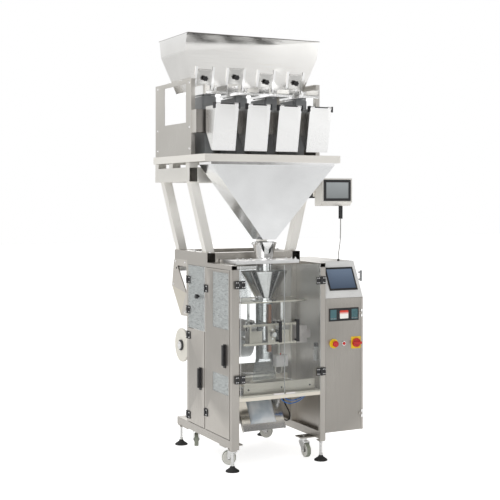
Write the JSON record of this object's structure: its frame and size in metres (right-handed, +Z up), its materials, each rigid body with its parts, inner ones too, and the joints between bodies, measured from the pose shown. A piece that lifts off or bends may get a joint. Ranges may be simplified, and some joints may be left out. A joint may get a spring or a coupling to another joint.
{
  "type": "vertical form fill sealer",
  "caption": "Upright bagging machine: a linear weigher on a stand drops product through a forming tube, film is formed, sealed and cut, with a control cabinet and doors.",
  "frame": {"origin": "on the floor at the middle of the four levelling feet", "axes": "+X to the operator's right, +Y towards the back of the machine, +Z up"},
  "size_m": [1.159, 1.029, 2.808],
  "materials": {
    "steel": "brushed",
    "bright_steel": "polished",
    "clear": "clear",
    "black_plastic": "matte",
    "cream_plastic": "satin",
    "white_paint": "satin",
    "film": "clear",
    "rubber": "matte",
    "aluminium": "satin",
    "red_plastic": "gloss",
    "blue_tube": "gloss",
    "bar_brown": "satin",
    "wheel": "satin"
  },
  "bodies": {
    "machine": {"air_tubes": "blue_tube", "belt_carriage": "steel", "cabinet_shell": "steel", "cable_loop": "black_plastic", "collecting_funnel": "steel", "control_console": "white_paint", "discharge_chute": "steel", "display_cable": "black_plastic", "fixed_plates": "steel", "forming_collar": "bright_steel", "forming_tube": "bright_steel", "frame_posts": "steel", "frame_rails": "steel", "hinges_and_bolts": "bright_steel", "levelling_feet": "rubber", "packaging_film": "film", "product_hopper": "steel", "sensor_and_air_unit": "cream_plastic", "stand_legs": "steel", "stand_rings": "steel", "vibrating_feeders": "steel", "weigh_buckets": "steel", "weigher_display": "steel", "weigher_frame": "steel"},
    "front_left_door": {"front_left_door": "clear"},
    "front_right_door": {"front_right_door": "clear"},
    "side_tall_door": {"side_tall_door": "steel"},
    "side_lower_door": {"side_lower_door": "steel"},
    "side_upper_door": {"side_upper_door": "clear"},
    "tall_door_lever": {"tall_door_lever": "black_plastic"},
    "lower_door_lever": {"lower_door_lever": "black_plastic"},
    "cabinet_door": {"cabinet_door": "steel"},
    "emergency_stop": {"emergency_stop": "red_plastic"},
    "stop_button": {"stop_button": "red_plastic"},
    "main_switch": {"main_switch": "red_plastic"},
    "film_reel": {"film_reel": "cream_plastic"},
    "guide_roller": {"guide_roller": "aluminium"},
    "dancer_arm": {"dancer_arm": "aluminium"},
    "left_pull_pulley": {"left_pull_pulley": "aluminium"},
    "right_pull_pulley": {"right_pull_pulley": "aluminium"},
    "vertical_sealer": {"vertical_sealer": "bar_brown"},
    "front_jaw": {"front_jaw": "steel"},
    "rear_jaw": {"rear_jaw": "steel"},
    "cutting_knife": {"cutting_knife": "steel"},
    "hopper_gate_1": {"hopper_gate_1": "steel"},
    "bucket_door_1": {"bucket_door_1": "steel"},
    "hopper_gate_2": {"hopper_gate_2": "steel"},
    "bucket_door_2": {"bucket_door_2": "steel"},
    "hopper_gate_3": {"hopper_gate_3": "steel"},
    "bucket_door_3": {"bucket_door_3": "steel"},
    "hopper_gate_4": {"hopper_gate_4": "steel"},
    "bucket_door_4": {"bucket_door_4": "steel"},
    "caster_fork_front_left": {"caster_fork_front_left": "bright_steel"},
    "caster_wheel_front_left": {"caster_wheel_front_left": "wheel"},
    "caster_fork_front_right": {"caster_fork_front_right": "bright_steel"},
    "caster_wheel_front_right": {"caster_wheel_front_right": "wheel"},
    "caster_fork_rear_left": {"caster_fork_rear_left": "bright_steel"},
    "caster_wheel_rear_left": {"caster_wheel_rear_left": "wheel"},
    "caster_fork_rear_right": {"caster_fork_rear_right": "bright_steel"},
    "caster_wheel_rear_right": {"caster_wheel_rear_right": "wheel"}
  },
  "joints": [
    {"name": "front_left_door_hinge", "type": "hinge", "parent": "machine", "child": "front_left_door", "pos_m": [-0.288, -0.458, 0.88], "axis": [0, 0, -1], "range_deg": [0, 105]},
    {"name": "front_right_door_hinge", "type": "hinge", "parent": "machine", "child": "front_right_door", "pos_m": [0.302, -0.458, 0.88], "axis": [0, 0, 1], "range_deg": [0, 100]},
    {"name": "side_tall_door_hinge", "type": "hinge", "parent": "machine", "child": "side_tall_door", "pos_m": [-0.351, -0.049, 0.72], "axis": [0, 0, -1], "range_deg": [0, 105]},
    {"name": "side_lower_door_hinge", "type": "hinge", "parent": "machine", "child": "side_lower_door", "pos_m": [-0.351, 0.237, 0.52], "axis": [0, 0, -1], "range_deg": [0, 105]},
    {"name": "side_upper_door_hinge", "type": "hinge", "parent": "machine", "child": "side_upper_door", "pos_m": [-0.351, 0.237, 1.066], "axis": [0, 0, -1], "range_deg": [0, 105]},
    {"name": "tall_door_lever_turn", "type": "hinge", "parent": "side_tall_door", "child": "tall_door_lever", "pos_m": [-0.351, -0.345, 0.776], "axis": [-1, 0, 0], "range_deg": [0, 90]},
    {"name": "lower_door_lever_turn", "type": "hinge", "parent": "side_lower_door", "child": "lower_door_lever", "pos_m": [-0.351, 0.035, 0.575], "axis": [-1, 0, 0], "range_deg": [0, 90]},
    {"name": "cabinet_door_hinge", "type": "hinge", "parent": "machine", "child": "cabinet_door", "pos_m": [0.6175, -0.446, 0.62], "axis": [0, 0, 1], "range_deg": [0, 105]},
    {"name": "emergency_stop_press", "type": "slide", "parent": "cabinet_door", "child": "emergency_stop", "axis": [0, 1, 0], "range_m": [0, 0.005]},
    {"name": "stop_button_press", "type": "slide", "parent": "cabinet_door", "child": "stop_button", "axis": [0, 1, 0], "range_m": [0, 0.003], "stiffness_N_per_m": 900},
    {"name": "main_switch_turn", "type": "hinge", "parent": "cabinet_door", "child": "main_switch", "pos_m": [0.577, -0.45, 0.764], "axis": [0, 1, 0], "range_deg": [0, 90]},
    {"name": "caster_swivel_front_left", "type": "hinge", "parent": "machine", "child": "caster_fork_front_left", "pos_m": [-0.255, -0.3, 0.13], "axis": [0, 0, 1], "continuous": true},
    {"name": "caster_roll_front_left", "type": "hinge", "parent": "caster_fork_front_left", "child": "caster_wheel_front_left", "pos_m": [-0.28619, -0.28411, 0.058], "axis": [0.454, 0.891, 0], "continuous": true},
    {"name": "caster_swivel_front_right", "type": "hinge", "parent": "machine", "child": "caster_fork_front_right", "pos_m": [0.255, -0.3, 0.13], "axis": [0, 0, 1], "continuous": true},
    {"name": "caster_roll_front_right", "type": "hinge", "parent": "caster_fork_front_right", "child": "caster_wheel_front_right", "pos_m": [0.255, -0.335, 0.058], "axis": [-1, 0, 0], "continuous": true},
    {"name": "caster_swivel_rear_left", "type": "hinge", "parent": "machine", "child": "caster_fork_rear_left", "pos_m": [-0.255, 0.308, 0.13], "axis": [0, 0, 1], "continuous": true},
    {"name": "caster_roll_rear_left", "type": "hinge", "parent": "caster_fork_rear_left", "child": "caster_wheel_rear_left", "pos_m": [-0.26811, 0.27555, 0.058], "axis": [-0.9272, 0.3746, 0], "continuous": true},
    {"name": "caster_swivel_rear_right", "type": "hinge", "parent": "machine", "child": "caster_fork_rear_right", "pos_m": [0.255, 0.308, 0.13], "axis": [0, 0, 1], "continuous": true},
    {"name": "caster_roll_rear_right", "type": "hinge", "parent": "caster_fork_rear_right", "child": "caster_wheel_rear_right", "pos_m": [0.28258, 0.28645, 0.058], "axis": [-0.6157, -0.788, 0], "continuous": true},
    {"name": "film_reel_turn", "type": "hinge", "parent": "machine", "child": "film_reel", "pos_m": [0, 0.385, 0.7], "axis": [1, 0, 0], "continuous": true},
    {"name": "guide_roller_turn", "type": "hinge", "parent": "machine", "child": "guide_roller", "pos_m": [0, 0.45, 1.235], "axis": [1, 0, 0], "continuous": true},
    {"name": "dancer_swing", "type": "hinge", "parent": "machine", "child": "dancer_arm", "pos_m": [0, 0.252, 1], "axis": [1, 0, 0], "range_deg": [0, 25]},
    {"name": "right_pull_pulley_turn", "type": "hinge", "parent": "machine", "child": "right_pull_pulley", "pos_m": [0.0825, -0.225, 0.88], "axis": [0, 1, 0], "continuous": true},
    {"name": "left_pull_pulley_turn", "type": "hinge", "parent": "machine", "child": "left_pull_pulley", "pos_m": [-0.0825, -0.225, 0.88], "axis": [0, 1, 0], "continuous": true},
    {"name": "vertical_sealer_press", "type": "slide", "parent": "machine", "child": "vertical_sealer", "axis": [0, 1, 0], "range_m": [0, 0.0075]},
    {"name": "front_jaw_close", "type": "slide", "parent": "machine", "child": "front_jaw", "axis": [0, 1, 0], "range_m": [0, 0.0485]},
    {"name": "rear_jaw_close", "type": "slide", "parent": "machine", "child": "rear_jaw", "axis": [0, 1, 0], "range_m": [-0.0485, 0]},
    {"name": "knife_stroke", "type": "slide", "parent": "front_jaw", "child": "cutting_knife", "axis": [0, 1, 0], "range_m": [0, 0.02]},
    {"name": "hopper_gate_1_lift", "type": "slide", "parent": "machine", "child": "hopper_gate_1", "axis": [0, -0.2368, 0.9715], "range_m": [-0.02, 0.05]},
    {"name": "bucket_door_1_drop", "type": "hinge", "parent": "machine", "child": "bucket_door_1", "pos_m": [0, -0.379, 2.326], "axis": [-1, 0, 0], "range_deg": [0, 35]},
    {"name": "hopper_gate_2_lift", "type": "slide", "parent": "machine", "child": "hopper_gate_2", "axis": [0, -0.2368, 0.9715], "range_m": [-0.038, 0.032]},
    {"name": "bucket_door_2_drop", "type": "hinge", "parent": "machine", "child": "bucket_door_2", "pos_m": [0, -0.379, 2.326], "axis": [-1, 0, 0], "range_deg": [0, 35]},
    {"name": "hopper_gate_3_lift", "type": "slide", "parent": "machine", "child": "hopper_gate_3", "axis": [0, -0.2368, 0.9715], "range_m": [-0.017, 0.053]},
    {"name": "bucket_door_3_drop", "type": "hinge", "parent": "machine", "child": "bucket_door_3", "pos_m": [0, -0.379, 2.326], "axis": [-1, 0, 0], "range_deg": [0, 35]},
    {"name": "hopper_gate_4_lift", "type": "slide", "parent": "machine", "child": "hopper_gate_4", "axis": [0, -0.2368, 0.9715], "range_m": [-0.02, 0.05]},
    {"name": "bucket_door_4_drop", "type": "hinge", "parent": "machine", "child": "bucket_door_4", "pos_m": [0, -0.379, 2.326], "axis": [-1, 0, 0], "range_deg": [0, 35]}
  ],
  "couplings": [
    {"joint": "left_pull_pulley_turn", "follows": "right_pull_pulley_turn", "ratio": -1},
    {"joint": "rear_jaw_close", "follows": "front_jaw_close", "ratio": -1}
  ]
}
